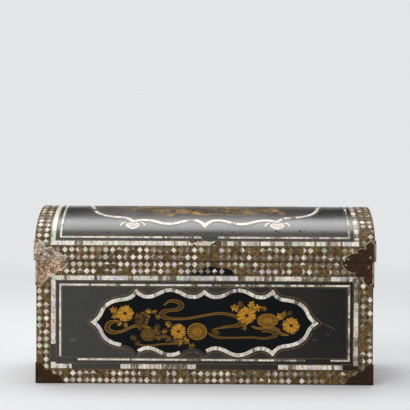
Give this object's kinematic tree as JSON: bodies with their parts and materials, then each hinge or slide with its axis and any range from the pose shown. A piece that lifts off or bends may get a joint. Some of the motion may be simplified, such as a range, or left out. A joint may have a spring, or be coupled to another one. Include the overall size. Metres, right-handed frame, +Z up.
{
  "type": "domed lacquer coffer",
  "caption": "Domed lacquered wood coffer with pearl-shell bands and cusped panels, copper corner mounts and a lid on rear hinges.",
  "frame": {"origin": "middle of the underside of the floor board, on the surface the coffer stands on", "axes": "+X to the right along the coffer's length, -Y the front, +Y the hinge side, +Z up"},
  "size_m": [0.422, 0.1952, 0.2173],
  "materials": {
    "lacquer": "black lacquer over wood, satin gloss, worn",
    "pearl": "polished pearl shell, iridescent",
    "copper": "thin engraved copper, patinated"
  },
  "bodies": {
    "case": {"case_back_board": "lacquer", "case_floor_board": "lacquer", "case_front_board": "lacquer", "case_left_end_board": "lacquer", "case_mount_lower_back_left": "copper", "case_mount_lower_back_right": "copper", "case_mount_lower_front_left": "copper", "case_mount_lower_front_right": "copper", "case_mount_upper_back_left": "copper", "case_mount_upper_back_right": "copper", "case_mount_upper_front_left": "copper", "case_mount_upper_front_right": "copper", "case_right_end_board": "lacquer", "front_cartouche": "pearl", "front_pearl_band": "pearl", "front_pearl_line": "pearl", "hinge_left_case_leaf": "copper", "hinge_left_pin": "copper", "hinge_right_case_leaf": "copper", "hinge_right_pin": "copper", "left_end_cartouche": "pearl", "left_end_pearl_band": "pearl", "left_end_pearl_line": "pearl", "right_end_cartouche": "pearl", "right_end_pearl_band": "pearl", "right_end_pearl_line": "pearl"},
    "lid": {"hinge_left_lid_leaf": "copper", "hinge_right_lid_leaf": "copper", "lid_back_rail": "lacquer", "lid_cartouche": "pearl", "lid_front_rail": "lacquer", "lid_left_end_band": "pearl", "lid_left_end_board": "lacquer", "lid_mount_back_left": "copper", "lid_mount_back_right": "copper", "lid_mount_front_left": "copper", "lid_mount_front_right": "copper", "lid_pearl_band": "pearl", "lid_pearl_line": "pearl", "lid_right_end_band": "pearl", "lid_right_end_board": "lacquer", "lid_stave_1": "lacquer", "lid_stave_2": "lacquer", "lid_stave_3": "lacquer", "lid_stave_4": "lacquer", "lid_stave_5": "lacquer", "lid_stave_6": "lacquer", "lid_stave_7": "lacquer"}
  },
  "joints": [
    {"name": "lid_hinge", "type": "hinge", "parent": "case", "child": "lid", "pos_m": [0, 0.0972, 0.152], "axis": [-1, 0, 0], "range_deg": [0, 105]}
  ]
}
